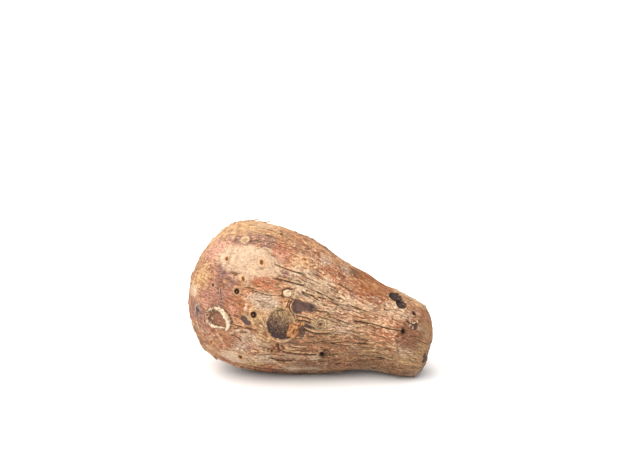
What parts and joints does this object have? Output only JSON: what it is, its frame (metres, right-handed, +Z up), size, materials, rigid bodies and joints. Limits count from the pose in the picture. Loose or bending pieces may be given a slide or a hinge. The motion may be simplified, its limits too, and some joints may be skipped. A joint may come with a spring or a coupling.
{
  "type": "taro root",
  "caption": "Whole taro corm lying on its side: a round bulb end that narrows to a drooping neck, with fissured bark, leaf-scar rings and root scars.",
  "frame": {"origin": "on the ground, under the middle of the corm's box", "axes": "+X from the bulb end towards the neck, +Z up from the ground, -Y is the side that faces the viewer"},
  "size_m": [0.1034, 0.0638, 0.0631],
  "materials": {
    "bark": "dry fibrous corm skin, matt, tan with cream, rust and plum patches"
  },
  "bodies": {
    "root": {"corm": "bark"}
  },
  "joints": []
}
